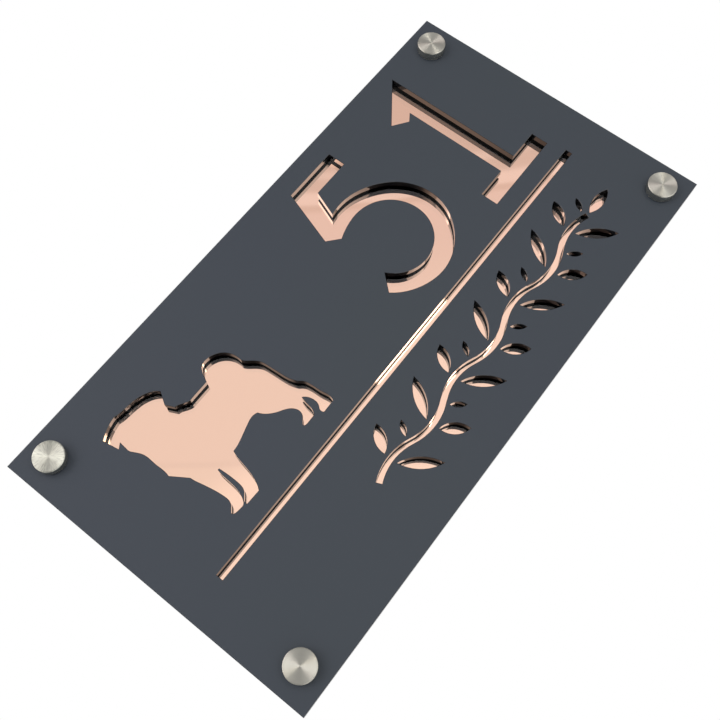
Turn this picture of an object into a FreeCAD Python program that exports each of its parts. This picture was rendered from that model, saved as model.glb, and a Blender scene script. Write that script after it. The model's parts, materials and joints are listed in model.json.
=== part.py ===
import FreeCAD, Part
import math
import os

from FreeCAD import Vector

# House number plaque for a wall, in millimetres.
#
# Two acrylic sheets lie back to back: a satin dark sheet in front, cut right through with a dog,
# two digits, a rule and a leafy twig, and a plain mirror sheet behind, which shows in the cuts.
# Four turned standoffs clamp the sheets near their corners and hold them clear of the wall.
#
# X runs to the right as the plaque is read, Z runs up, and the plaque is read from -Y.
# Y = 0 is the wall, and the origin is the centre of the four wall screws.

# Sheets
FRONT_T = 3.0
MIRROR_T = 3.0

# Layout down the front sheet, from its top edge to its bottom edge
TOP_MARGIN = 8.0
DIGIT_H = 76.85
RULE_GAP = 8.2
RULE_W = 3.2
ROW_GAP = 9.15
ROW_H = 28.6
BOTTOM_MARGIN = 16.0

# Layout along the front sheet, from its left edge to its right edge
LEFT_MARGIN = 30.65
DOG_H = 65.2
DOG_GAP = 51.95
DIGIT_GAP = 13.25
RIGHT_MARGIN = 23.2

# The dog stands this far above the foot of the digits
DOG_LIFT = 0.45

# The rule stops short of the side edges, and sinks a little on its way to the right
RULE_MARGIN_LEFT = 18.75
RULE_MARGIN_RIGHT = 20.9
RULE_SINK = 1.15

# The twig ends this far from the right edge
TWIG_W = 168.7
TWIG_MARGIN = 27.0
TWIG_WAVES = 7
STEM_W = 2.6
STEM_RISE = 2.4
STEM_BRIDGE = 1.8
LEAF_W = 5.0
LEAF_LEAN = 52.0
END_LEAF_L = 15.0
BUD_L = 7.0
BUD_W = 2.4

# Standoffs
INSET_X = 12.9
INSET_Z = 11.8
CAP_D = 13.0
CAP_T = 4.0
CAP_EDGE = 0.25
STUD_D = 8.0
STUD_GRIP = 8.0
WASHER_D = 12.4
WASHER_T = 0.5
BARREL_D = 13.0
BARREL_L = 20.0
BASE_T = 3.0
SCREW_HOLE_D = 4.5

# Clearances, each all round
SHEET_HOLE_CLEARANCE = 0.5
WASHER_CLEARANCE = 0.3
THREAD_CLEARANCE = 0.05

# The cutters run past both faces of a sheet by this much
OVERCUT = 1.0

# Smooth outlines are cut as arcs that keep this close to the curve
ARC_TOLERANCE = 0.1

# Outlines, in hundredths of the height of the figure, from its left end and its foot.
# Each stretch starts where the one before it ends: "line" joins its points with straight edges,
# "curve" is one smooth curve through them. The last stretch ends where the first one starts.
ONE = [
    ("line", [(0, 0), (52.4, 0), (52.4, 10.7), (32.7, 10.7), (32.7, 100), (5.6, 80.3),
              (14.6, 73.8), (19.9, 77.4), (19.9, 10.7), (0, 10.7), (0, 0)]),
]
FIVE = [
    ("line", [(3.4, 63.0), (14.7, 97.3), (50.1, 97.3), (50.1, 86.2), (25.4, 86.2), (19.5, 70.6)]),
    ("curve", [(19.5, 70.6), (28.0, 71.4), (38.8, 69.7), (50.0, 63.6), (58.7, 55.5), (66.0, 32.0),
               (62.4, 19.9), (33.0, -0.3), (9.2, 6.2), (0, 15.2)]),
    ("line", [(0, 15.2), (8.3, 24.5)]),
    ("curve", [(8.3, 24.5), (30.6, 11.2), (39.6, 13.4), (51.2, 25.4), (53.1, 34.5), (46.4, 51.9),
               (37.8, 58.0), (18.6, 59.2), (10.4, 56.8)]),
    ("line", [(10.4, 56.8), (3.4, 63.0)]),
]
DOG = [
    # brow, crown and ear
    ("curve", [(0, 94.8), (7.6, 98.4), (14.9, 100)]),
    ("curve", [(14.9, 100), (23.0, 98.6), (36.2, 96.2), (45.1, 88.9)]),
    # nape and back
    ("line", [(45.1, 88.9), (40.1, 80.8), (42.9, 74.9)]),
    ("curve", [(42.9, 74.9), (47.4, 72.7), (50.2, 70.9), (54.4, 70.3)]),
    ("line", [(54.4, 70.3), (67.6, 70.3)]),
    # tail
    ("curve", [(67.6, 70.3), (69.6, 74.4), (73.3, 79.3), (88.4, 75.6), (91.6, 69.2), (91.8, 62.6)]),
    # rump and near hind leg
    ("curve", [(91.8, 62.6), (94.6, 58.2), (98.0, 53.6), (99.5, 46.8), (100.9, 31.8), (102.9, 25.4)]),
    ("curve", [(102.9, 25.4), (106.0, 20.6), (106.7, 10.4), (107.3, 2.0), (106.6, 0.2)]),
    ("line", [(106.6, 0.2), (97.3, 0)]),
    ("curve", [(97.3, 0), (96.7, 1.7), (98.9, 5.5), (99.7, 9.2), (96.3, 17.0)]),
    # far hind leg
    ("curve", [(96.3, 17.0), (95.2, 12.4), (93.6, 6.0), (91.9, 3.6)]),
    ("line", [(91.9, 3.6), (85.0, 3.5)]),
    ("curve", [(85.0, 3.5), (82.8, 4.5), (87.1, 8.7), (86.8, 17.2), (80.7, 21.9), (76.0, 25.6),
               (71.7, 32.2)]),
    # belly
    ("curve", [(71.7, 32.2), (68.2, 33.2), (60.8, 31.9), (52.4, 29.4), (43.9, 28.0)]),
    # near foreleg
    ("curve", [(43.9, 28.0), (40.9, 15.8), (37.6, 4.6), (34.7, 0.1)]),
    ("line", [(34.7, 0.1), (24.4, 0.4)]),
    ("curve", [(24.4, 0.4), (24.1, 1.6), (29.0, 6.6), (30.9, 12.9), (30.4, 27.8)]),
    ("line", [(30.4, 27.8), (29.2, 27.8)]),
    # far foreleg
    ("curve", [(29.2, 27.8), (28.3, 21.6), (26.0, 6.6), (23.8, 2.9)]),
    ("curve", [(23.8, 2.9), (18.6, 1.9), (14.2, 3.6), (17.6, 7.0), (19.5, 13.6), (15.4, 37.6)]),
    # chest and throat
    ("line", [(15.4, 37.6), (8.3, 48.6)]),
    ("curve", [(8.3, 48.6), (9.0, 55.6), (8.8, 60.6), (9.2, 65.8), (7.4, 73.2), (5.4, 76.9),
               (5.2, 80.4)]),
    ("line", [(5.2, 80.4), (5.7, 86.2)]),
    # mouth and muzzle
    ("line", [(5.7, 86.2), (2.0, 83.7), (0, 94.8)]),
]


def outline_width(outline):
    """Gives the length of an outline along X, in the outline's own hundredths."""
    xs = [x for kind, points in outline for x, z in points]
    return max(xs) - min(xs)


# Sizes worked out from the layout
DOG_W = outline_width(DOG) * DOG_H / 100
FIVE_W = outline_width(FIVE) * DIGIT_H / 100
ONE_W = outline_width(ONE) * DIGIT_H / 100
PLATE_W = LEFT_MARGIN + DOG_W + DOG_GAP + FIVE_W + DIGIT_GAP + ONE_W + RIGHT_MARGIN
PLATE_H = TOP_MARGIN + DIGIT_H + RULE_GAP + RULE_W + ROW_GAP + ROW_H + BOTTOM_MARGIN

LEFT_EDGE = -PLATE_W / 2
RIGHT_EDGE = PLATE_W / 2
TOP_EDGE = PLATE_H / 2
ONE_LEFT = RIGHT_EDGE - RIGHT_MARGIN - ONE_W
FIVE_LEFT = ONE_LEFT - DIGIT_GAP - FIVE_W
DIGIT_FOOT = TOP_EDGE - TOP_MARGIN - DIGIT_H
RULE_Z = DIGIT_FOOT - RULE_GAP - RULE_W / 2
ROW_Z = RULE_Z - RULE_W / 2 - ROW_GAP - ROW_H / 2

# Faces of the stack, from the wall outwards
BARREL_FRONT = -BARREL_L
MIRROR_BACK = BARREL_FRONT - WASHER_T
MIRROR_FRONT = MIRROR_BACK - MIRROR_T
SHEET_FRONT = MIRROR_FRONT - FRONT_T
CAP_SEAT = SHEET_FRONT - WASHER_T
STUD_L = WASHER_T + FRONT_T + MIRROR_T + WASHER_T + STUD_GRIP

# A standoff near each corner of the sheets: top left, top right, bottom left, bottom right
CORNERS = [
    (LEFT_EDGE + INSET_X, TOP_EDGE - INSET_Z),
    (RIGHT_EDGE - INSET_X, TOP_EDGE - INSET_Z),
    (LEFT_EDGE + INSET_X, INSET_Z - TOP_EDGE),
    (RIGHT_EDGE - INSET_X, INSET_Z - TOP_EDGE),
]


def line_edges(points):
    """Straight edges through a list of points."""
    return [Part.makeLine(a, b) for a, b in zip(points, points[1:])]


def curve_edges(points):
    """A smooth run of tangent arcs through a list of points, as a laser cutter follows it."""
    curve = Part.BSplineCurve()
    curve.interpolate(points)
    return [piece.toShape() for piece in curve.toBiArcs(ARC_TOLERANCE)]


def arc_edge(start, middle, end):
    """A round edge through three points."""
    return Part.Arc(start, middle, end).toShape()


def cutter(edges):
    """A prism on a closed outline in the plane Y = 0, long enough to cut through the front sheet."""
    face = Part.Face(Part.Wire(edges))
    face.translate(Vector(0, SHEET_FRONT - OVERCUT, 0))
    return face.extrude(Vector(0, FRONT_T + 2 * OVERCUT, 0))


def figure_cutter(outline, height, left, foot):
    """A cutter of one of the outlines above, with its left end and its foot in the given place."""
    scale = height / 100
    edges = []
    for kind, points in outline:
        placed = [Vector(left + x * scale, 0, foot + z * scale) for x, z in points]
        edges += line_edges(placed) if kind == "line" else curve_edges(placed)
    return cutter(edges)


def rule_cutter():
    """The thin straight slot between the digits and the twig."""
    left = LEFT_EDGE + RULE_MARGIN_LEFT
    right = RIGHT_EDGE - RULE_MARGIN_RIGHT
    left_z = RULE_Z + RULE_SINK / 2
    right_z = RULE_Z - RULE_SINK / 2
    corners = [
        Vector(left, 0, left_z + RULE_W / 2),
        Vector(right, 0, right_z + RULE_W / 2),
        Vector(right, 0, right_z - RULE_W / 2),
        Vector(left, 0, left_z - RULE_W / 2),
    ]
    return cutter(line_edges(corners + corners[:1]))


def leaf_cutter(base_x, base_z, lean, length, width):
    """A leaf: two equal arcs between its foot and its tip, which leans from +X by some degrees."""
    along = Vector(math.cos(math.radians(lean)), 0, math.sin(math.radians(lean)))
    across = Vector(-along.z, 0, along.x)
    foot = Vector(base_x, 0, base_z)
    tip = foot + along * length
    middle = (foot + tip) * 0.5
    upper = middle + across * (width / 2)
    lower = middle - across * (width / 2)
    return cutter([arc_edge(foot, upper, tip), arc_edge(tip, lower, foot)])


def stem_cutter(left, wave, radius):
    """The waved slot of the stem: tangent arcs that bow up and down by turns, with square ends."""
    half_angle = math.asin(wave / 2 / radius)
    upper = []
    lower = []
    for number in range(TWIG_WAVES):
        bow = 1 if number % 2 == 0 else -1
        centre = Vector(left + (number + 0.5) * wave, 0, ROW_Z + bow * (STEM_RISE - radius))
        for side, edges in ((1, upper), (-1, lower)):
            reach = radius + bow * side * STEM_W / 2
            points = [
                centre + Vector(math.sin(angle), 0, bow * math.cos(angle)) * reach
                for angle in (-half_angle, 0, half_angle)
            ]
            edges.append(points)
    edges = [arc_edge(*points) for points in upper + lower]
    edges += line_edges([lower[0][0], upper[0][0]]) + line_edges([upper[-1][2], lower[-1][2]])
    return cutter(Part.__sortEdges__(edges))


def twig_cutters():
    """The leafy twig: a leaf on each side of every wave of its stem, and a bud after it."""
    wave = (TWIG_W - END_LEAF_L - STEM_BRIDGE) / TWIG_WAVES
    radius = wave ** 2 / 8 / STEM_RISE + STEM_RISE / 2
    left = RIGHT_EDGE - TWIG_MARGIN - TWIG_W
    cutters = [stem_cutter(left, wave, radius)]
    reach = ROW_H / 2 + LEAF_W / 4
    for number in range(TWIG_WAVES):
        bow = 1 if number % 2 == 0 else -1
        crest_x = left + (number + 0.5) * wave
        for side in (1, -1):
            crest = side * bow * STEM_RISE + STEM_W / 2 + STEM_BRIDGE
            length = (reach - crest) / math.sin(math.radians(LEAF_LEAN))
            foot_z = ROW_Z + side * crest
            cutters.append(leaf_cutter(crest_x, foot_z, side * LEAF_LEAN, length, LEAF_W))
        bud_z = ROW_Z + bow * (STEM_W / 2 + STEM_BRIDGE)
        cutters.append(leaf_cutter(crest_x + wave / 2, bud_z, bow * LEAF_LEAN, BUD_L, BUD_W))
    end_x = left + TWIG_WAVES * wave + STEM_BRIDGE
    cutters.append(leaf_cutter(end_x, ROW_Z, 0, END_LEAF_L, LEAF_W))
    return cutters


def sheet(back, thickness):
    """A sheet with a hole for each stud, its back face at the given Y."""
    corner = Vector(LEFT_EDGE, back - thickness, -TOP_EDGE)
    blank = Part.makeBox(PLATE_W, thickness, PLATE_H, corner)
    hole_r = STUD_D / 2 + SHEET_HOLE_CLEARANCE
    holes = [
        Part.makeCylinder(hole_r, thickness + 2 * OVERCUT,
                          Vector(x, back - thickness - OVERCUT, z), Vector(0, 1, 0))
        for x, z in CORNERS
    ]
    return blank.cut(holes)


def front_sheet():
    """The dark front sheet with everything that is cut through it."""
    cutters = [
        figure_cutter(DOG, DOG_H, LEFT_EDGE + LEFT_MARGIN, DIGIT_FOOT + DOG_LIFT),
        figure_cutter(FIVE, DIGIT_H, FIVE_LEFT, DIGIT_FOOT),
        figure_cutter(ONE, DIGIT_H, ONE_LEFT, DIGIT_FOOT),
        rule_cutter(),
    ]
    return sheet(MIRROR_FRONT, FRONT_T).cut(cutters + twig_cutters())


def turned(profile, x, z):
    """A piece turned about an axis along Y, from a profile of (radius, Y) corners."""
    corners = [Vector(x + radius, y, z) for radius, y in profile]
    face = Part.Face(Part.makePolygon(corners + corners[:1]))
    return face.revolve(Vector(x, 0, z), Vector(0, 1, 0), 360)


def cap(x, z):
    """A standoff's cap: a brushed disc with a broken edge, turned in one piece with its stud."""
    cap_r = CAP_D / 2
    stud_r = STUD_D / 2
    top = CAP_SEAT - CAP_T
    stud_end = CAP_SEAT + STUD_L
    return turned([
        (0, top),
        (cap_r - CAP_EDGE, top),
        (cap_r, top + CAP_EDGE),
        (cap_r, CAP_SEAT),
        (stud_r, CAP_SEAT),
        (stud_r, stud_end),
        (0, stud_end),
    ], x, z)


def washer(x, z, back):
    """A thin clear washer round the stud, its back face at the given Y."""
    inner = STUD_D / 2 + WASHER_CLEARANCE
    outer = WASHER_D / 2
    return turned([
        (inner, back - WASHER_T),
        (outer, back - WASHER_T),
        (outer, back),
        (inner, back),
    ], x, z)


def barrel(x, z):
    """A standoff's barrel: tapped from the front, with a hole in its base for the wall screw."""
    outer = BARREL_D / 2
    bore = STUD_D / 2 + THREAD_CLEARANCE
    screw = SCREW_HOLE_D / 2
    return turned([
        (screw, 0),
        (outer, 0),
        (outer, BARREL_FRONT),
        (bore, BARREL_FRONT),
        (bore, -BASE_T),
        (screw, -BASE_T),
    ], x, z)


def at_corners(make_piece):
    """A group of like pieces, one separate solid at each corner."""
    return Part.makeCompound([make_piece(x, z) for x, z in CORNERS])


def pieces():
    """Every piece of the plaque, by the name of its node."""
    return {
        "front_sheet": front_sheet(),
        "mirror_sheet": sheet(MIRROR_BACK, MIRROR_T),
        "caps": at_corners(cap),
        "front_washers": at_corners(lambda x, z: washer(x, z, SHEET_FRONT)),
        "rear_washers": at_corners(lambda x, z: washer(x, z, BARREL_FRONT)),
        "barrels": at_corners(barrel),
    }


def main():
    """Writes one STEP file for each piece."""
    os.makedirs("parts", exist_ok=True)
    for name, shape in pieces().items():
        shape.exportStep(os.path.join("parts", name + ".step"))
        print(name, "solids", len(shape.Solids), "volume %.1f" % shape.Volume, "valid", shape.isValid())


main()
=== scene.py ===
"""House number plaque, dressed for a plain studio.

Two acrylic sheets lie back to back: a satin anthracite sheet, cut right through with a dog, two
digits, a rule and a leafy twig, and a rose mirror sheet behind it, which shows in the cuts. Four
turned standoffs clamp the sheets near their corners and hold them clear of the wall.

Lengths named here are in millimetres, and MM turns them to the scene's metres. X runs to the
right as the plaque is read, Z runs up, the wall is Y = 0, and the plaque is read from -Y.
"""

import json
import logging
import math
from dataclasses import dataclass
from enum import Enum
from typing import Any

import bmesh
import bpy
from mathutils import Matrix, Vector


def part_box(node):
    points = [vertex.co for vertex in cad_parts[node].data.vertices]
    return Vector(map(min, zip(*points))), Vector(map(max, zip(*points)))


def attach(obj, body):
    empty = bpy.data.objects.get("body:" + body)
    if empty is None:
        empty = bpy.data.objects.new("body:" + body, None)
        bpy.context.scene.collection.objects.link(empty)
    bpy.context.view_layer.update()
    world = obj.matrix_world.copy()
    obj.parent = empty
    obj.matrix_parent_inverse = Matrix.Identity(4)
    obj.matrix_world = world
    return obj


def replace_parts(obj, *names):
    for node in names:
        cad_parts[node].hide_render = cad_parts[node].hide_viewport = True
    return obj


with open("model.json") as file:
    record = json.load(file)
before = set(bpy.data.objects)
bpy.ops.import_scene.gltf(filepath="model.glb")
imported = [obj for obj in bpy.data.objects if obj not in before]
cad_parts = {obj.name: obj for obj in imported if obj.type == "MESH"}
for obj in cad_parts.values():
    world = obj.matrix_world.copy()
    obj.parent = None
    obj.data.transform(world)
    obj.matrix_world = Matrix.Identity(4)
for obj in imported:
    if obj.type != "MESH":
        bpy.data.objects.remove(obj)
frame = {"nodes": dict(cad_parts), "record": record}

MM = 0.001
BODY = "root"

# Points nearer to each other than this, in metres, are one point
MERGE = 0.001 * MM

# A light path isn't ended at random before this bounce, so the polished walls show no speckle
SURE_BOUNCES = 8

WHITE = (1.0, 1.0, 1.0, 1.0)

# The way up and to the right that the mirror's stripes are measured along
DIAGONAL = (0.737, 0.0, 0.676)

# Sockets of the colour form of Blender's mix node
COLOUR_A = 6
COLOUR_B = 7
COLOUR_OUT = 2

log = logging.getLogger("plaque")


class Corner(Enum):
    """A corner of the plaque, as the signs of its X and its Z."""

    TOP_LEFT = (-1, 1)
    TOP_RIGHT = (1, 1)
    BOTTOM_LEFT = (-1, -1)
    BOTTOM_RIGHT = (1, -1)


class Slot(Enum):
    """The record's material slots."""

    FRONT_ACRYLIC = "front_acrylic"
    MIRROR_ACRYLIC = "mirror_acrylic"
    CAP_STEEL = "cap_steel"
    BARREL_STEEL = "barrel_steel"
    WASHER_NYLON = "washer_nylon"


def linear(hex_colour: str) -> tuple[float, ...]:
    """Turns an sRGB hex colour to the linear colour that a shader takes.

    Args:
        hex_colour: Six hex digits.

    Returns:
        Red, green and blue, and an alpha of 1.
    """
    channels = [int(hex_colour[start:start + 2], 16) / 255 for start in (0, 2, 4)]
    return tuple(c / 12.92 if c <= 0.04045 else ((c + 0.055) / 1.055) ** 2.4 for c in channels) + (1.0,)


def per_metre(size_mm: float) -> float:
    """Gives the texture scale at which one feature of a pattern has this size in millimetres."""
    return 1 / (size_mm * MM)


def grey(level: float) -> tuple[float, float, float]:
    """Gives a tone that is the same in red, green and blue."""
    return (level, level, level)


def add_node(tree: bpy.types.NodeTree, kind: str, inputs: dict[Any, Any] | None = None,
             **settings: Any) -> bpy.types.Node:
    """Adds one node with its settings, values and links.

    Args:
        tree: The node tree that gets the node.
        kind: The node's type, such as "ShaderNodeBump".
        inputs: Values or output sockets, by the name or number of the input.
        **settings: Properties of the node.

    Returns:
        The new node.
    """
    node = tree.nodes.new(kind)
    for name, value in settings.items():
        setattr(node, name, value)
    for key, value in (inputs or {}).items():
        if isinstance(value, bpy.types.NodeSocket):
            tree.links.new(value, node.inputs[key])
        else:
            node.inputs[key].default_value = value
    return node


def new_material(name: str, values: dict[str, Any]) -> tuple[bpy.types.Material, bpy.types.Node]:
    """Makes a material with one Principled shader.

    Args:
        name: The material's name.
        values: Plain values of the shader's sockets.

    Returns:
        The material and its shader node.
    """
    material = bpy.data.materials.new(name)
    material.use_nodes = True
    shader = material.node_tree.nodes["Principled BSDF"]
    for key, value in values.items():
        shader.inputs[key].default_value = value
    return material, shader


@dataclass(frozen=True)
class SatinAcrylic:
    """Cast acrylic, dyed anthracite through, with a satin etched face.

    The etch scatters the light softly and without a grain that the eye could find. The cast
    sheet drifts a little in tone, and a few specks of dust lie on it.

    Attributes:
        dust_cell_mm: The spacing of the places where a speck can lie.
        dust_share: The share of those places that have one.
        dust_cover: How far a speck hides the sheet, from 0 to 1.
    """

    cool: str = "3D4350"
    green: str = "3E464C"
    dust: str = "8F959B"
    drift_mm: float = 110.0
    grain_mm: float = 0.35
    grain_depth_mm: float = 0.004
    dust_cell_mm: float = 17.0
    dust_mm: float = 0.3
    dust_share: float = 0.28
    dust_cover: float = 0.8
    roughness: float = 0.58
    ior: float = 1.49

    def material(self) -> bpy.types.Material:
        """Builds the material."""
        material, shader = new_material("satin_anthracite_acrylic", {
            "Roughness": self.roughness, "IOR": self.ior})
        tree = material.node_tree
        coords = add_node(tree, "ShaderNodeTexCoord")
        drift = add_node(tree, "ShaderNodeTexNoise", {
            "Vector": coords.outputs["Object"], "Scale": per_metre(self.drift_mm), "Detail": 1.0})
        body = add_node(tree, "ShaderNodeMix", {
            "Factor": drift.outputs["Fac"], COLOUR_A: linear(self.cool), COLOUR_B: linear(self.green)},
            data_type="RGBA")
        dusty = add_node(tree, "ShaderNodeMix", {
            "Factor": self.speck(tree, coords).outputs[0], COLOUR_A: body.outputs[COLOUR_OUT],
            COLOUR_B: linear(self.dust)}, data_type="RGBA")
        tree.links.new(dusty.outputs[COLOUR_OUT], shader.inputs["Base Color"])

        grain = add_node(tree, "ShaderNodeTexNoise", {
            "Vector": coords.outputs["Object"], "Scale": per_metre(self.grain_mm), "Detail": 2.0})
        etch = add_node(tree, "ShaderNodeBump", {
            "Strength": 1.0, "Distance": self.grain_depth_mm * MM, "Height": grain.outputs["Fac"]})
        tree.links.new(etch.outputs[0], shader.inputs["Normal"])
        return material

    def speck(self, tree: bpy.types.NodeTree, coords: bpy.types.Node) -> bpy.types.Node:
        """Adds a few specks of pale dust.

        Args:
            tree: The material's node tree.
            coords: Its texture coordinates.

        Returns:
            A node whose output is above 0 on a speck.
        """
        cells = add_node(tree, "ShaderNodeTexVoronoi", {
            "Vector": coords.outputs["Object"], "Scale": per_metre(self.dust_cell_mm)})
        near = add_node(tree, "ShaderNodeMapRange", {
            "Value": cells.outputs["Distance"], "From Min": 0.0,
            "From Max": self.dust_mm / self.dust_cell_mm, "To Min": self.dust_cover, "To Max": 0.0})
        pick = add_node(tree, "ShaderNodeSeparateColor", {0: cells.outputs["Color"]})
        kept = add_node(tree, "ShaderNodeMath", {0: pick.outputs[0], 1: 1 - self.dust_share},
                        operation="GREATER_THAN")
        return add_node(tree, "ShaderNodeMath", {0: near.outputs[0], 1: kept.outputs[0]},
                        operation="MULTIPLY")


@dataclass(frozen=True)
class CutAcrylic:
    """The same acrylic where the laser cut it, its walls left fire polished.

    A polished wall is darker than the satin face, and its melted skin, a coat here, mirrors the
    sheet behind. Straight cuts come out clean. On curves the laser slows down, and leaves fine
    streaks across the thickness and, in two places, shallow melted hollows.

    Attributes:
        streak_run: How many times longer than wide a streak is.
        melted: The places of the hollows, as X, Z and reach in millimetres.
        melt_core: The share of its reach up to which a place is fully melted.
        middle_y: The Y of the sheet's middle, in millimetres.
    """

    colour: str = "191A1E"
    streak_mm: float = 0.5
    streak_depth_mm: float = 0.008
    streak_run: float = 20.0
    hollow_mm: float = 3.0
    hollow_depth_mm: float = 1.0
    melted: tuple[tuple[float, float, float], ...] = ((-90.0, 52.5, 13.0), (-82.0, 39.0, 7.0))
    melt_core: float = 0.7
    middle_y: float = -25.0
    roughness: float = 0.05
    ior: float = 1.49
    skin_ior: float = 1.45

    def material(self) -> bpy.types.Material:
        """Builds the material."""
        material, shader = new_material("cut_anthracite_acrylic", {
            "Base Color": linear(self.colour), "Roughness": self.roughness, "IOR": self.ior,
            "Coat Weight": 1.0, "Coat Roughness": self.roughness, "Coat IOR": self.skin_ior})
        tree = material.node_tree
        coords = add_node(tree, "ShaderNodeTexCoord")
        curved = add_node(tree, "ShaderNodeAttribute", attribute_name=FrontSheet.CURVED)
        drawn = add_node(tree, "ShaderNodeVectorMath", {
            0: coords.outputs["Object"], 1: (1.0, 1 / self.streak_run, 1.0)}, operation="MULTIPLY")
        streak = add_node(tree, "ShaderNodeTexNoise", {
            "Vector": drawn.outputs[0], "Scale": per_metre(self.streak_mm), "Detail": 2.0})
        streaks = add_node(tree, "ShaderNodeBump", {
            "Strength": curved.outputs["Fac"], "Distance": self.streak_depth_mm * MM,
            "Height": streak.outputs["Fac"]})

        where: Any = 0.0
        for x, z, reach in self.melted:
            away = add_node(tree, "ShaderNodeVectorMath", {
                0: coords.outputs["Object"], 1: Vector((x, self.middle_y, z)) * MM}, operation="DISTANCE")
            near = add_node(tree, "ShaderNodeMapRange", {
                "Value": away.outputs["Value"], "From Min": self.melt_core * reach * MM,
                "From Max": reach * MM, "To Min": 1.0, "To Max": 0.0})
            both = add_node(tree, "ShaderNodeMath", {0: where, 1: near.outputs[0]}, operation="MAXIMUM")
            where = both.outputs[0]
        melted = add_node(tree, "ShaderNodeMath", {0: where, 1: curved.outputs["Fac"]},
                          operation="MULTIPLY")
        hollow = add_node(tree, "ShaderNodeTexNoise", {
            "Vector": coords.outputs["Object"], "Scale": per_metre(self.hollow_mm), "Detail": 2.0})
        hollows = add_node(tree, "ShaderNodeBump", {
            "Strength": melted.outputs[0], "Distance": self.hollow_depth_mm * MM,
            "Height": hollow.outputs["Fac"], "Normal": streaks.outputs[0]})
        tree.links.new(hollows.outputs[0], shader.inputs["Normal"])
        return material


@dataclass(frozen=True)
class ClearAcrylic:
    """Cast acrylic, clear with a breath of rose, as the body of a back-silvered mirror sheet."""

    tint: str = "FFFBF8"
    ior: float = 1.49

    def material(self) -> bpy.types.Material:
        """Builds the material."""
        material, shader = new_material("clear_rose_acrylic", {
            "Base Color": linear(self.tint), "IOR": self.ior, "Roughness": 0.0,
            "Transmission Weight": 1.0})
        return material


@dataclass(frozen=True)
class RoseSilvering:
    """Metal film laid on the mirror sheet's back: rose gold, near to a perfect mirror.

    Cast acrylic is never quite flat, so what it mirrors is bent a little by long soft waves.
    """

    colour: str = "FFD9C2"
    wave_mm: float = 60.0
    wave_depth_mm: float = 0.15
    roughness: float = 0.02

    def material(self) -> bpy.types.Material:
        """Builds the material."""
        material, shader = new_material("rose_silvering", {
            "Base Color": linear(self.colour), "Metallic": 1.0, "Roughness": self.roughness})
        tree = material.node_tree
        coords = add_node(tree, "ShaderNodeTexCoord")
        wave = add_node(tree, "ShaderNodeTexNoise", {
            "Vector": coords.outputs["Object"], "Scale": per_metre(self.wave_mm), "Detail": 0.0})
        bump = add_node(tree, "ShaderNodeBump", {
            "Strength": 1.0, "Distance": self.wave_depth_mm * MM, "Height": wave.outputs["Fac"]})
        tree.links.new(bump.outputs[0], shader.inputs["Normal"])
        return material


@dataclass(frozen=True)
class BackingPaint:
    """Grey lacquer rolled over the silvering to guard it, matt with a faint roller grain.

    Attributes:
        lightness: Between which shares of its colour the grain varies.
    """

    colour: str = "74777A"
    lightness: tuple[float, float] = (0.92, 1.08)
    grain_mm: float = 1.2
    grain_depth_mm: float = 0.02
    grain_strength: float = 0.6
    roughness: float = 0.55
    ior: float = 1.5

    def material(self) -> bpy.types.Material:
        """Builds the material."""
        material, shader = new_material("grey_backing_paint", {
            "Roughness": self.roughness, "IOR": self.ior})
        tree = material.node_tree
        coords = add_node(tree, "ShaderNodeTexCoord")
        grain = add_node(tree, "ShaderNodeTexNoise", {
            "Vector": coords.outputs["Object"], "Scale": per_metre(self.grain_mm), "Detail": 3.0})
        value = add_node(tree, "ShaderNodeMapRange", {
            "Value": grain.outputs["Fac"], "To Min": self.lightness[0], "To Max": self.lightness[1]})
        tone = add_node(tree, "ShaderNodeHueSaturation", {
            "Value": value.outputs[0], "Color": linear(self.colour)})
        tree.links.new(tone.outputs[0], shader.inputs["Base Color"])
        bump = add_node(tree, "ShaderNodeBump", {
            "Strength": self.grain_strength, "Distance": self.grain_depth_mm * MM,
            "Height": grain.outputs["Fac"]})
        tree.links.new(bump.outputs[0], shader.inputs["Normal"])
        return material


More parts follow.
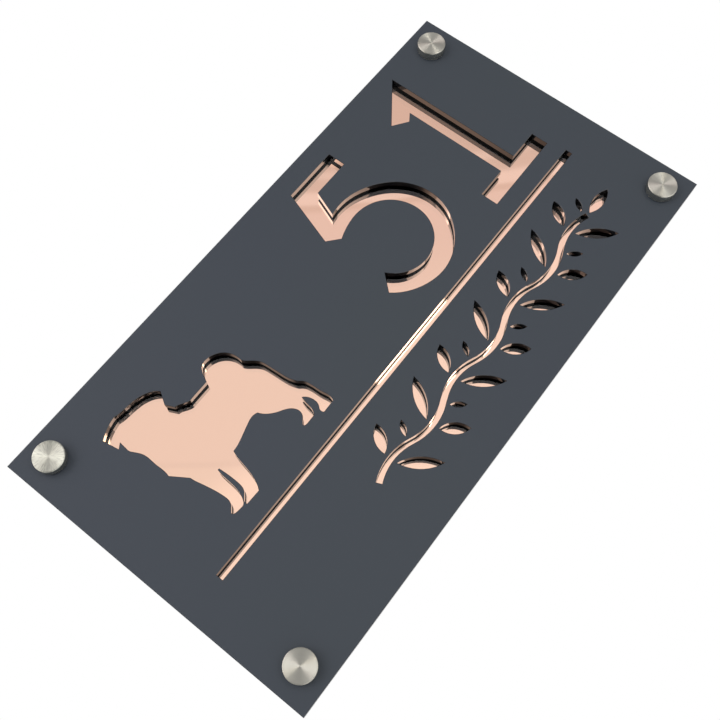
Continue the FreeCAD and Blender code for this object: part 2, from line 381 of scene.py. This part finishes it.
@dataclass(frozen=True)
class TurnedSteel:
    """Stainless steel, faced and brushed on a lathe, so that its grooves run round the axis.

    The grooves throw the light out along the radius, a quarter turn from their own way, which
    gives a disc its wedges of light. Real grooves are finer than the render can show, so they are
    drawn this coarse. A side is turned smoother than a face is brushed, and throws the light out
    less far. Where the tool chattered, fine spokes cross the grooves, and each spoke is also
    painted darker in colour, a painted shade for the dim glints that the chatter throws.

    Attributes:
        name: The material's name.
        lightness: Between which shares of its colour the rings vary.
        chatter_turns: How many spokes there are in one turn, about.
        chatter_run: How many times a spoke changes in a millimetre of its length.
        chatter_span: Between which heights of the chatter a spoke fades from dark to full.
        chatter_painted_shade: How much darker a spoke is painted than the rest, as painted shade for the
            chatter's dim glints.
    """

    name: str
    colour: str = "D5D3C8"
    groove_mm: float = 0.8
    groove_depth_mm: float = 0.006
    band_mm: float = 1.1
    lightness: tuple[float, float] = (0.94, 1.04)
    chatter_turns: float = 70.0
    chatter_run: float = 0.4
    chatter_depth_mm: float = 0.0
    chatter_span: tuple[float, float] = (0.3, 0.6)
    chatter_painted_shade: float = 0.0
    roughness: float = 0.4
    anisotropy: float = 1.0
    quarter_turn: float = 0.25

    def material(self) -> bpy.types.Material:
        """Builds the material."""
        material, shader = new_material(self.name, {
            "Metallic": 1.0, "Roughness": self.roughness, "Anisotropic": self.anisotropy,
            "Anisotropic Rotation": self.quarter_turn})
        tree = material.node_tree
        uv = add_node(tree, "ShaderNodeUVMap", uv_map=TurnedPiece.UV_NAME)
        groove = self.rings(tree, uv, self.groove_mm, 2.0)
        grooves = add_node(tree, "ShaderNodeBump", {
            "Strength": 1.0, "Distance": self.groove_depth_mm * MM, "Height": groove.outputs["Fac"]})
        spoke = add_node(tree, "ShaderNodeVectorMath", {
            0: uv.outputs[0], 1: (self.chatter_turns, self.chatter_run, 1.0)}, operation="MULTIPLY")
        beat = add_node(tree, "ShaderNodeTexNoise", {
            "Vector": spoke.outputs[0], "Scale": 1.0, "Detail": 2.0}, noise_dimensions="2D")
        chatter = add_node(tree, "ShaderNodeBump", {
            "Strength": 1.0, "Distance": self.chatter_depth_mm * MM, "Height": beat.outputs["Fac"],
            "Normal": grooves.outputs[0]})
        tree.links.new(chatter.outputs[0], shader.inputs["Normal"])

        band = self.rings(tree, uv, self.band_mm, 1.0)
        shade = add_node(tree, "ShaderNodeMapRange", {
            "Value": band.outputs["Fac"], "To Min": self.lightness[0], "To Max": self.lightness[1]})
        # The spokes darken the steel's colour: painted shade for the dim glints that the chatter throws
        spokes = add_node(tree, "ShaderNodeMapRange", {
            "Value": beat.outputs["Fac"], "From Min": self.chatter_span[0],
            "From Max": self.chatter_span[1], "To Min": 1 - self.chatter_painted_shade, "To Max": 1.0})
        value = add_node(tree, "ShaderNodeMath", {0: shade.outputs[0], 1: spokes.outputs[0]},
                         operation="MULTIPLY")
        tone = add_node(tree, "ShaderNodeHueSaturation", {
            "Value": value.outputs[0], "Color": linear(self.colour)})
        tree.links.new(tone.outputs[0], shader.inputs["Base Color"])
        tangent = add_node(tree, "ShaderNodeTangent", direction_type="UV_MAP",
                           uv_map=TurnedPiece.UV_NAME)
        tree.links.new(tangent.outputs[0], shader.inputs["Tangent"])
        return material

    @staticmethod
    def rings(tree: bpy.types.NodeTree, uv: bpy.types.Node, width_mm: float,
              detail: float) -> bpy.types.Node:
        """Adds a noise that changes along the section alone, so that it draws rings.

        Args:
            tree: The material's node tree.
            uv: Its UV map, whose V runs along the section in millimetres.
            width_mm: The width of a ring.
            detail: The detail of the noise.

        Returns:
            The noise node.
        """
        place = add_node(tree, "ShaderNodeSeparateXYZ", {0: uv.outputs[0]})
        along = add_node(tree, "ShaderNodeMath", {0: place.outputs["Y"], 1: 1 / width_mm},
                         operation="MULTIPLY")
        return add_node(tree, "ShaderNodeTexNoise", {
            "W": along.outputs[0], "Scale": 1.0, "Detail": detail}, noise_dimensions="1D")


@dataclass(frozen=True)
class ClearNylon:
    """Punched nylon washer: clear, a little milky, with a soft sheen.

    Attributes:
        lightness: Between which shares of its colour the milky clouds vary.
        clarity: The share of the light that goes through.
    """

    colour: str = "EEEFEC"
    lightness: tuple[float, float] = (0.94, 1.0)
    cloud_mm: float = 2.0
    clarity: float = 0.7
    roughness: float = 0.3
    ior: float = 1.53

    def material(self) -> bpy.types.Material:
        """Builds the material."""
        material, shader = new_material("clear_nylon", {
            "Roughness": self.roughness, "IOR": self.ior, "Transmission Weight": self.clarity})
        tree = material.node_tree
        coords = add_node(tree, "ShaderNodeTexCoord")
        cloud = add_node(tree, "ShaderNodeTexNoise", {
            "Vector": coords.outputs["Object"], "Scale": per_metre(self.cloud_mm), "Detail": 2.0})
        value = add_node(tree, "ShaderNodeMapRange", {
            "Value": cloud.outputs["Fac"], "To Min": self.lightness[0], "To Max": self.lightness[1]})
        tone = add_node(tree, "ShaderNodeHueSaturation", {
            "Value": value.outputs[0], "Color": linear(self.colour)})
        tree.links.new(tone.outputs[0], shader.inputs["Base Color"])
        return material


def finished(bm: bmesh.types.BMesh, name: str, slot: Slot,
             *materials: bpy.types.Material) -> bpy.types.Object:
    """Makes an object of a bmesh, dresses it and lets it ride on the plaque.

    Args:
        bm: The mesh in metres, in its place. It is freed.
        name: The piece's name.
        slot: The record's slot that its finish comes from. It is not used.
        *materials: Its materials, in the order of the faces' material numbers.

    Returns:
        The new piece.
    """
    mesh = bpy.data.meshes.new(name)
    bm.to_mesh(mesh)
    bm.free()
    for material in materials:
        mesh.materials.append(material)
    piece = bpy.data.objects.new(name, mesh)
    bpy.context.scene.collection.objects.link(piece)
    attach(piece, BODY)
    log.info("%s: %d faces", name, len(mesh.polygons))
    return piece


def dress_node(name: str, material: bpy.types.Material) -> None:
    """Gives a piece that comes ready in the frame its material.

    Args:
        name: The piece's name.
        material: Its material.
    """
    node = frame["nodes"][name]
    node.data.materials.clear()
    node.data.materials.append(material)
    log.info("%s: %d faces", name, len(node.data.polygons))


@dataclass
class FrontSheet:
    """The satin sheet with its fretwork, made from a merged copy of the ready one.

    The laser leaves no sharp rim, so each edge of the front face is broken by a fine chamfer.

    Attributes:
        edge: How far the rims are broken, in millimetres.
        sharp_deg: Angle between two walls from which their corner stays sharp.
        curve_deg: Angle between two walls from which they belong to a curve.
        curve_mm: Longest flat of a curve, in millimetres.
        wall_y: Share of Y in a face's normal below which it is a wall or a broken rim.
        same_wall: Cosine between two walls above which they count as one.
        mitre_least: Keeps the mitre at a sharp point short: the smaller, the longer it may be.
    """

    CURVED = "curved"
    NODE = "front_sheet"

    edge: float = 0.14
    sharp_deg: float = 30.0
    curve_deg: float = 1.0
    curve_mm: float = 7.0
    wall_y: float = 0.9
    same_wall: float = 0.99999
    mitre_least: float = 0.25

    def build(self, satin: bpy.types.Material, cut: bpy.types.Material) -> None:
        """Builds and dresses the sheet.

        Args:
            satin: The material of its faces.
            cut: The material of its walls.
        """
        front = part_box(self.NODE)[0].y
        bm = bmesh.new()
        bm.from_mesh(frame["nodes"][self.NODE].data)
        bmesh.ops.remove_doubles(bm, verts=bm.verts, dist=MERGE)
        bmesh.ops.recalc_face_normals(bm, faces=bm.faces)
        bmesh.ops.bisect_plane(bm, geom=bm.verts[:] + bm.edges[:] + bm.faces[:], dist=MERGE,
                               plane_co=(0.0, front + self.edge * MM, 0.0), plane_no=(0.0, 1.0, 0.0))
        self.mark_curves(bm)
        self.break_rims(bm, front)
        curved = bm.faces.layers.float[self.CURVED]
        for face in bm.faces:
            face.smooth = bool(face[curved])
            face.material_index = int(self.is_wall(face))
        for edge in bm.edges:
            edge.smooth = edge.calc_face_angle(math.pi) < math.radians(self.sharp_deg)
        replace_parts(finished(bm, "fretted_front", Slot.FRONT_ACRYLIC, satin, cut), self.NODE)

    def is_wall(self, face: bmesh.types.BMFace) -> bool:
        """Tells whether a face is a wall or a broken rim, not the front or the back."""
        return abs(face.normal.y) < self.wall_y

    def mark_curves(self, bm: bmesh.types.BMesh) -> None:
        """Marks the walls that belong to a curve, for the streaks that only curves have.

        Args:
            bm: The sheet, with its walls still square to its front.
        """
        layer = bm.faces.layers.float.new(self.CURVED)
        least = math.radians(self.curve_deg)
        most = math.radians(self.sharp_deg)
        for edge in bm.edges:
            if least < edge.calc_face_angle(0.0) < most:
                for face in edge.link_faces:
                    longest = max(side.calc_length() for side in face.edges)
                    face[layer] = float(longest < self.curve_mm * MM)

    def break_rims(self, bm: bmesh.types.BMesh, front: float) -> None:
        """Moves the rims of the front face back from the cuts, which leaves a fine chamfer.

        Args:
            bm: The sheet, its walls cut once just behind the front.
            front: The Y of its front face, in metres.
        """
        moves = [(vert, -self.mitre(vert) * self.edge * MM) for vert in bm.verts
                 if abs(vert.co.y - front) <= MERGE]
        for vert, move in moves:
            vert.co += move
        bm.normal_update()

    def mitre(self, vert: bmesh.types.BMVert) -> Vector:
        """Gives the way in which a corner moves so that each wall at it moves by 1.

        Args:
            vert: A corner of the front face.

        Returns:
            The move into the cut, which is none where no wall meets the corner.
        """
        normals = []
        for face in vert.link_faces:
            if self.is_wall(face) and all(face.normal.dot(seen) < self.same_wall for seen in normals):
                normals.append(face.normal.copy())
        if not normals:
            return Vector()
        first, last = normals[0], normals[-1]
        return (first + last) / max(self.mitre_least, 1 + first.dot(last))


@dataclass
class TurnedPiece:
    """A piece turned on a lathe about an axis along Y.

    Attributes:
        name: The piece's name.
        profile: Its section, as (radius, Y) corners in millimetres.
        axis: The X and Z of its axis, in millimetres.
        closed: Whether the profile is a ring that never meets the axis.
        edge: How far each sharp edge is broken, in millimetres.
        edge_steps: In how many steps a broken edge is rounded.
        steps: Number of flats in one turn.
        sharp_deg: Angle between two faces from which their edge is sharp.
        flat_y: Share of Y in its normal above which a face lies square to the axis.
        side_y: Share of Y in its normal below which a face runs along the axis.
    """

    UV_NAME = "turning"

    name: str
    profile: list[tuple[float, float]]
    axis: tuple[float, float]
    closed: bool
    edge: float = 0.12
    edge_steps: int = 3
    steps: int = 128
    sharp_deg: float = 40.0
    flat_y: float = 0.999
    side_y: float = 0.1

    def build(self, faced: bpy.types.Material, turned: bpy.types.Material,
              slot: Slot) -> bpy.types.Object:
        """Turns the profile, breaks its edges and dresses it.

        Args:
            faced: The material of its faces and rims.
            turned: The material of its straight sides.
            slot: The record's slot that its finish comes from.

        Returns:
            The new piece.
        """
        bm = bmesh.new()
        centre = Vector((self.axis[0], 0.0, self.axis[1])) * MM
        verts = [bm.verts.new(centre + Vector((radius, y, 0.0)) * MM) for radius, y in self.profile]
        pairs = list(zip(verts, verts[1:]))
        if self.closed:
            pairs.append((verts[-1], verts[0]))
        edges = [bm.edges.new(pair) for pair in pairs]
        bmesh.ops.spin(bm, geom=verts + edges, cent=centre, axis=(0, 1, 0), dvec=(0, 0, 0),
                       angle=2 * math.pi, steps=self.steps, use_merge=True, use_duplicate=False)
        bmesh.ops.remove_doubles(bm, verts=bm.verts, dist=MERGE)
        bmesh.ops.recalc_face_normals(bm, faces=bm.faces)
        sharp = [edge for edge in bm.edges
                 if edge.is_manifold and edge.calc_face_angle() > math.radians(self.sharp_deg)]
        bmesh.ops.bevel(bm, geom=sharp, offset=self.edge * MM, offset_type="OFFSET", affect="EDGES",
                        segments=self.edge_steps, profile=0.5, material=-1, clamp_overlap=True)
        self.unroll(bm, centre)
        for face in bm.faces:
            face.smooth = abs(face.normal.y) <= self.flat_y
            face.material_index = int(abs(face.normal.y) < self.side_y)
        return finished(bm, self.name, slot, faced, turned)

    def unroll(self, bm: bmesh.types.BMesh, centre: Vector) -> None:
        """Lays a UV map along the turning: U once round the axis, V out along the section.

        Args:
            bm: The turned mesh.
            centre: A point on its axis.
        """
        layer = bm.loops.layers.uv.new(self.UV_NAME)
        front = min(y for radius, y in self.profile)
        for face in bm.faces:
            middle = face.calc_center_median() - centre
            middle_turn = math.atan2(middle.z, middle.x) / (2 * math.pi)
            for loop in face.loops:
                arm = loop.vert.co - centre
                radius = math.hypot(arm.x, arm.z)
                turn = math.atan2(arm.z, arm.x) / (2 * math.pi) if radius > MERGE else middle_turn
                turn += round(middle_turn - turn)
                loop[layer].uv = (turn, radius / MM + arm.y / MM - front)


@dataclass
class Standoff:
    """One of the four standoffs: its cap with a stud, its barrel, and where they stand.

    Lengths are in millimetres. The washers of all four come ready in the frame.

    Attributes:
        corner: The corner that it stands at.
        cap_steel: The finish of its cap's face.
        face_steel: The finish of its barrel's ends.
        side_steel: The finish of what runs along the axis.
        face_rings: Radii of the rings that divide the cap's face, as shares of its radius.
    """

    corner: Corner
    cap_steel: bpy.types.Material
    face_steel: bpy.types.Material
    side_steel: bpy.types.Material
    cap_d: float = 13.0
    cap_edge: float = 0.25
    cap_t: float = 4.0
    face_rings: tuple[float, ...] = (0.0, 0.4, 0.8, 0.97)
    stud_d: float = 8.0
    barrel_d: float = 13.0
    base_t: float = 3.0
    screw_hole_d: float = 4.5
    thread_clearance: float = 0.05

    def axis(self) -> tuple[float, float]:
        """Gives the X and Z of the standoff's axis, from the wall screws' spacing."""
        screws = next(m for m in frame["record"]["mounts"] if m["name"] == "wall_screws")
        side, height = self.corner.value
        return (side * screws["dims"]["spacing_x_mm"] / 2, height * screws["dims"]["spacing_y_mm"] / 2)

    def build(self) -> None:
        """Builds the cap and the barrel."""
        self.build_cap()
        self.build_barrel()

    def build_cap(self) -> None:
        """Turns the cap in one piece with its stud."""
        low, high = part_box("caps")
        top = low.y / MM
        seat = top + self.cap_t
        stud_end = high.y / MM
        cap_r = self.cap_d / 2
        face_r = cap_r - self.cap_edge
        stud_r = self.stud_d / 2
        cap = TurnedPiece("cap_" + self.corner.name.lower(), [
            *((share * face_r, top) for share in self.face_rings),
            (face_r, top),
            (cap_r, top + self.cap_edge),
            (cap_r, seat),
            (stud_r, seat),
            (stud_r, stud_end),
            (0.0, stud_end),
        ], self.axis(), closed=False)
        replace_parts(cap.build(self.cap_steel, self.side_steel, Slot.CAP_STEEL), "caps")

    def build_barrel(self) -> None:
        """Turns the barrel, with the bore for the stud and the screw hole in its base."""
        low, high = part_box("barrels")
        front = low.y / MM
        back = high.y / MM
        base = back - self.base_t
        barrel_r = self.barrel_d / 2
        bore_r = self.stud_d / 2 + self.thread_clearance
        screw_r = self.screw_hole_d / 2
        barrel = TurnedPiece("barrel_" + self.corner.name.lower(), [
            (screw_r, back),
            (barrel_r, back),
            (barrel_r, front),
            (bore_r, front),
            (bore_r, base),
            (screw_r, base),
        ], self.axis(), closed=True)
        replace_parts(barrel.build(self.face_steel, self.side_steel, Slot.BARREL_STEEL), "barrels")


@dataclass
class MirrorBack:
    """The two thin coats on the mirror sheet's back: the silvering and the paint that guards it.

    Lengths are in millimetres. Both coats stop short of the sheet's edges and of its stud holes.

    Attributes:
        hole_d: Diameter of the sheet's stud holes.
        margin: How far the coats stop short.
        film_depth: How deep under the sheet's back the film's front lies.
        film_t: Thickness of the film.
        paint_depth: How deep under the sheet's back the paint starts.
        paint_proud: How far the paint stands proud of it.
        hole_steps: Number of flats in a hole's round.
    """

    hole_d: float = 9.0
    margin: float = 0.06
    film_depth: float = 0.06
    film_t: float = 0.02
    paint_depth: float = 0.03
    paint_proud: float = 0.01
    hole_steps: int = 64

    def build(self, silvering: bpy.types.Material, paint: bpy.types.Material,
              axes: list[tuple[float, float]]) -> None:
        """Builds both coats.

        Args:
            silvering: The mirror film's material.
            paint: The backing paint's material.
            axes: The X and Z of each stud's axis, in millimetres.
        """
        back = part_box("mirror_sheet")[1].y / MM
        film_front = back - self.film_depth
        self.coat("mirror_film", film_front, film_front + self.film_t, silvering, axes)
        self.coat("mirror_backing", back - self.paint_depth, back + self.paint_proud, paint, axes)

    def coat(self, name: str, front: float, back: float, material: bpy.types.Material,
             axes: list[tuple[float, float]]) -> None:
        """Builds one coat as a thin plate with a hole round each stud.

        Args:
            name: The coat's name.
            front: The Y of its front face.
            back: The Y of its back face.
            material: Its material.
            axes: The X and Z of each stud's axis.
        """
        low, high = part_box("mirror_sheet")
        bm = bmesh.new()
        flat = Matrix.Rotation(math.pi / 2, 4, "X")
        corners = [(low.x, low.z), (high.x, low.z), (high.x, high.z), (low.x, high.z)]
        inset = self.margin * MM
        verts = [bm.verts.new((x - math.copysign(inset, x), front * MM, z - math.copysign(inset, z)))
                 for x, z in corners]
        for start, end in zip(verts, verts[1:] + verts[:1]):
            bm.edges.new((start, end))
        for x, z in axes:
            place = Matrix.Translation(Vector((x, front, z)) * MM)
            bmesh.ops.create_circle(bm, cap_ends=False, segments=self.hole_steps,
                                    radius=(self.hole_d / 2 + self.margin) * MM, matrix=place @ flat)
        bmesh.ops.triangle_fill(bm, use_beauty=True, use_dissolve=False, edges=bm.edges)
        grown = bmesh.ops.extrude_face_region(bm, geom=bm.faces)
        moved = [item for item in grown["geom"] if isinstance(item, bmesh.types.BMVert)]
        bmesh.ops.translate(bm, verts=moved, vec=(0, (back - front) * MM, 0))
        bmesh.ops.recalc_face_normals(bm, faces=bm.faces)
        finished(bm, name, Slot.MIRROR_ACRYLIC, material)


@dataclass(frozen=True)
class Lamp:
    """A soft oblong lamp that shines at the plaque.

    Attributes:
        name: Its name.
        direction: Where it hangs, seen from the plaque.
        distance: How far away it hangs, in metres.
        width: Its width, in metres.
        height: Its height, in metres.
        level: How bright its face is, where 1 is white.
        colour: The sRGB hex colour of its light.
        mirrored: Whether it shows in mirrors. Where it doesn't, a light patch of the walls does.
    """

    name: str
    direction: tuple[float, float, float]
    distance: float
    width: float
    height: float
    level: float
    colour: str = "FFFFFF"
    mirrored: bool = True

    def build(self) -> None:
        """Hangs the lamp."""
        data = bpy.data.lights.new(self.name, "AREA")
        data.shape = "RECTANGLE"
        data.size = self.width
        data.size_y = self.height
        data.energy = self.level * math.pi * self.width * self.height
        data.color = linear(self.colour)[:3]
        lamp = bpy.data.objects.new(self.name, data)
        away = Vector(self.direction).normalized()
        lamp.location = away * self.distance
        lamp.rotation_euler = away.to_track_quat("Z", "Y").to_euler()
        lamp.visible_camera = False
        lamp.visible_glossy = self.mirrored
        lamp.visible_transmission = self.mirrored
        bpy.context.scene.collection.objects.link(lamp)


@dataclass(frozen=True)
class Shade:
    """A part of the studio's walls that is darker or lighter in what mirrors show.

    Attributes:
        axis: The direction that it is measured along.
        start: How far along the axis, for a direction of length 1, it starts.
        end: How far along the axis it is full.
        tone: What it multiplies the walls' red, green and blue by.
    """

    axis: tuple[float, float, float]
    start: float
    end: float
    tone: tuple[float, float, float]


@dataclass(frozen=True)
class Studio:
    """Plain soft light, white walls with a few quiet shades, and a pale floor far below.

    Attributes:
        fill: How bright the even light from all round is, where 1 is white.
        floor_drop: How far the floor lies below the plaque's middle, in metres.
        floor_side: The side of the floor, in metres.
        floor_glow: How much the floor's own glow adds to what is seen of it.
        floor_colour: The floor's sRGB hex colour.
        floor_roughness: The floor's roughness.
        lamps: The lamps.
        shades: The shades of the walls, each laid over the ones before it.
    """

    fill: float = 0.5
    floor_drop: float = 1.3
    floor_side: float = 3.0
    floor_glow: float = 0.55
    floor_colour: str = "E8E8E8"
    floor_roughness: float = 0.9
    lamps: tuple[Lamp, ...] = (
        Lamp("window", (-0.38, -0.78, 0.5), distance=3.0, width=2.6, height=1.5, level=2.2,
             colour="FFFDF9", mirrored=False),
        Lamp("panel", (0.2, -0.88, -0.43), distance=2.0, width=1.0, height=0.7, level=1.4),
        Lamp("spot", (0.335, -0.93, -0.151), distance=1.9, width=0.28, height=0.28, level=5.4,
             colour="FFF6E6"),
    )
    shades: tuple[Shade, ...] = (
        # The room is dim, but for the wall that the mirror sheet shows and those behind the plaque,
        # and darkest about the camera
        Shade((-0.3, 0.93, -0.22), -0.945, -0.85, grey(0.4)),
        Shade((-0.45, -0.84, -0.3), 0.90, 0.985, grey(0.12)),
        Shade((-0.2, -0.84, -0.5), 0.93, 0.985, grey(0.15)),
        Shade((-0.53, -0.84, -0.05), 0.95, 0.99, grey(0.3)),
        Shade((0.0, 1.0, 0.0), -0.2, 0.3, grey(1.8)),
        Shade((0.2, 0.0, 0.98), 0.245, 0.285, grey(0.88)),
        # Faint stripes that the mirror sheet shows across the digits and the dog
        Shade(DIAGONAL, 0.2515, 0.2545, (0.95, 0.94, 0.95)),
        Shade(DIAGONAL, 0.2575, 0.2605, (1.04, 1.04, 1.04)),
        Shade(DIAGONAL, 0.4, 0.48, (0.93, 0.885, 0.9)),
        Shade(DIAGONAL, 0.505, 0.511, (0.9, 0.88, 0.85)),
        Shade(DIAGONAL, 0.513, 0.516, (1.2, 1.26, 1.31)),
        Shade(DIAGONAL, 0.524, 0.53, (0.81, 0.79, 0.77)),
        Shade(DIAGONAL, 0.538, 0.542, (1.13, 1.15, 1.17)),
        Shade(DIAGONAL, 0.544, 0.552, (0.86, 0.83, 0.81)),
        Shade(DIAGONAL, 0.61, 0.68, (0.93, 1.01, 1.03)),
        # Light patches in place of the window, which the caps and the polished walls show
        Shade((-0.298, -0.554, 0.777), 0.855, 0.87, (5.3, 5.05, 5.0)),
        Shade((-0.575, -0.772, 0.271), 0.974, 0.984, (2.4, 2.25, 2.15)),
    )

    def build(self) -> None:
        """Sets the world, the lamps and the floor."""
        self.world()
        for lamp in self.lamps:
            lamp.build()
        self.floor()

    @staticmethod
    def seen_in_gloss(tree: bpy.types.NodeTree, ray: bpy.types.Node) -> bpy.types.Node:
        """Adds a node whose output is 1 for rays that come from gloss or from clear pieces.

        Args:
            tree: The node tree that gets the node.
            ray: Its Light Path node.

        Returns:
            The new node.
        """
        return add_node(tree, "ShaderNodeMath", {
            0: ray.outputs["Is Glossy Ray"], 1: ray.outputs["Is Transmission Ray"]}, operation="MAXIMUM")

    def world(self) -> None:
        """Lights the plaque evenly, and shows white to the eye and the shaded walls to mirrors."""
        world = bpy.data.worlds.new("studio")
        bpy.context.scene.world = world
        world.use_nodes = True
        tree = world.node_tree
        tree.nodes.clear()
        light = add_node(tree, "ShaderNodeBackground", {"Color": WHITE, "Strength": self.fill})
        seen = add_node(tree, "ShaderNodeBackground", {"Color": WHITE, "Strength": 1.0})
        coords = add_node(tree, "ShaderNodeTexCoord")
        tone: Any = WHITE[:3]
        for shade in self.shades:
            along = add_node(tree, "ShaderNodeVectorMath", {
                0: coords.outputs["Generated"], 1: Vector(shade.axis).normalized()},
                operation="DOT_PRODUCT")
            part = add_node(tree, "ShaderNodeMapRange", {
                "Value": along.outputs["Value"], "From Min": shade.start, "From Max": shade.end},
                interpolation_type="SMOOTHSTEP")
            mixed = add_node(tree, "ShaderNodeMix", {
                "Factor": part.outputs[0], COLOUR_A: WHITE, COLOUR_B: shade.tone + (1.0,)},
                data_type="RGBA")
            shaded = add_node(tree, "ShaderNodeVectorMath", {
                0: tone, 1: mixed.outputs[COLOUR_OUT]}, operation="MULTIPLY")
            tone = shaded.outputs[0]
        walls = add_node(tree, "ShaderNodeBackground", {"Color": tone, "Strength": 1.0})
        ray = add_node(tree, "ShaderNodeLightPath")
        inner = add_node(tree, "ShaderNodeMixShader", {
            0: self.seen_in_gloss(tree, ray).outputs[0], 1: light.outputs[0], 2: walls.outputs[0]})
        both = add_node(tree, "ShaderNodeMixShader", {
            0: ray.outputs["Is Camera Ray"], 1: inner.outputs[0], 2: seen.outputs[0]})
        add_node(tree, "ShaderNodeOutputWorld", {"Surface": both.outputs[0]})

    def floor(self) -> None:
        """Lays the floor, whose glow shows to the eye and in gloss but lights nothing."""
        bm = bmesh.new()
        bmesh.ops.create_grid(bm, x_segments=1, y_segments=1, size=self.floor_side / 2,
                              matrix=Matrix.Translation((0, 0, -self.floor_drop)))
        mesh = bpy.data.meshes.new("floor")
        bm.to_mesh(mesh)
        bm.free()
        material, shader = new_material("pale_floor", {
            "Base Color": linear(self.floor_colour), "Roughness": self.floor_roughness})
        tree = material.node_tree
        ray = add_node(tree, "ShaderNodeLightPath")
        shown = add_node(tree, "ShaderNodeMath", {
            0: ray.outputs["Is Camera Ray"], 1: self.seen_in_gloss(tree, ray).outputs[0]},
            operation="MAXIMUM")
        strength = add_node(tree, "ShaderNodeMath", {0: shown.outputs[0], 1: self.floor_glow},
                            operation="MULTIPLY")
        glow = add_node(tree, "ShaderNodeEmission", {"Strength": strength.outputs[0]})
        both = add_node(tree, "ShaderNodeAddShader", {0: shader.outputs[0], 1: glow.outputs[0]})
        tree.links.new(both.outputs[0], tree.nodes["Material Output"].inputs["Surface"])
        mesh.materials.append(material)
        floor = bpy.data.objects.new("floor", mesh)
        bpy.context.scene.collection.objects.link(floor)


@dataclass(frozen=True)
class PhotoCamera:
    """The camera of the photograph: where it stands, where it aims and how far it is rolled.

    Attributes:
        aim: The point of the front face at the picture's centre, in millimetres.
        distance: From the aim to the lens, in millimetres.
        azimuth: Degrees round the plaque from its left, seen from the front.
        elevation: Degrees above the plaque's own horizon.
        roll: Degrees that the camera is turned clockwise about its line of sight.
        lens: Focal length on the sensor, in millimetres.
        sensor: The sensor's side, in millimetres.
        clip: The nearest that the camera sees, in millimetres.
    """

    aim: tuple[float, float, float] = (-19.39, -26.5, -7.23)
    distance: float = 362.84
    azimuth: float = -17.109
    elevation: float = -12.443
    roll: float = 54.127
    lens: float = 43.98
    sensor: float = 36.0
    clip: float = 10.0

    def build(self) -> None:
        """Sets up the camera."""
        turn = math.radians(self.azimuth)
        rise = math.radians(self.elevation)
        back = Vector((math.sin(turn) * math.cos(rise), -math.cos(turn) * math.cos(rise), math.sin(rise)))
        data = bpy.data.cameras.new("photo_camera")
        data.lens = self.lens
        data.sensor_width = self.sensor
        data.clip_start = self.clip * MM
        camera = bpy.data.objects.new("photo_camera", data)
        upright = back.to_track_quat("Z", "Y").to_matrix().to_4x4()
        rolled = upright @ Matrix.Rotation(-math.radians(self.roll), 4, "Z")
        place = (Vector(self.aim) + back * self.distance) * MM
        camera.matrix_world = Matrix.Translation(place) @ rolled
        bpy.context.scene.collection.objects.link(camera)
        bpy.context.scene.camera = camera


@dataclass
class Plaque:
    """The whole plaque: its two sheets, the mirror's coats, the washers and the standoffs.

    The tool chattered on the face of the cap at the top left, and on no other. That face's steel
    is painted lighter than the others': painted light for the bright cap, and a make-up for its
    painted dark spokes.
    """

    face: SatinAcrylic = SatinAcrylic()
    cut: CutAcrylic = CutAcrylic()
    clear: ClearAcrylic = ClearAcrylic()
    silvering: RoseSilvering = RoseSilvering()
    paint: BackingPaint = BackingPaint()
    face_steel: TurnedSteel = TurnedSteel("brushed_face_steel")
    # The top left face's steel is painted lighter than the other steel: painted light, which also makes up
    # for its painted dark spokes
    chattered_painted_light_steel: TurnedSteel = TurnedSteel("chattered_face_steel_painted_lighter", "E8E9DC", chatter_depth_mm=0.03,
                                               chatter_painted_shade=0.26)
    side_steel: TurnedSteel = TurnedSteel("turned_side_steel", roughness=0.24, anisotropy=0.75)
    nylon: ClearNylon = ClearNylon()

    def build(self) -> None:
        """Builds and dresses every piece."""
        FrontSheet().build(self.face.material(), self.cut.material())
        dress_node("mirror_sheet", self.clear.material())
        nylon = self.nylon.material()
        dress_node("front_washers", nylon)
        dress_node("rear_washers", nylon)
        brushed = self.face_steel.material()
        # The top left face's steel, painted lighter as painted light, and with painted dark spokes
        chattered = self.chattered_painted_light_steel.material()
        turned = self.side_steel.material()
        standoffs = [Standoff(corner, chattered if corner is Corner.TOP_LEFT else brushed, brushed, turned)
                     for corner in Corner]
        for standoff in standoffs:
            standoff.build()
        MirrorBack().build(self.silvering.material(), self.paint.material(),
                           [standoff.axis() for standoff in standoffs])


def main() -> None:
    """Builds the plaque, the studio and the camera."""
    logging.basicConfig(level=logging.INFO, format="%(name)s: %(message)s")
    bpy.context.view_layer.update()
    Plaque().build()
    Studio().build()
    PhotoCamera().build()
    bpy.context.scene.view_settings.view_transform = "Standard"
    bpy.context.scene.cycles.min_light_bounces = SURE_BOUNCES


if __name__ == "__main__":
    main()
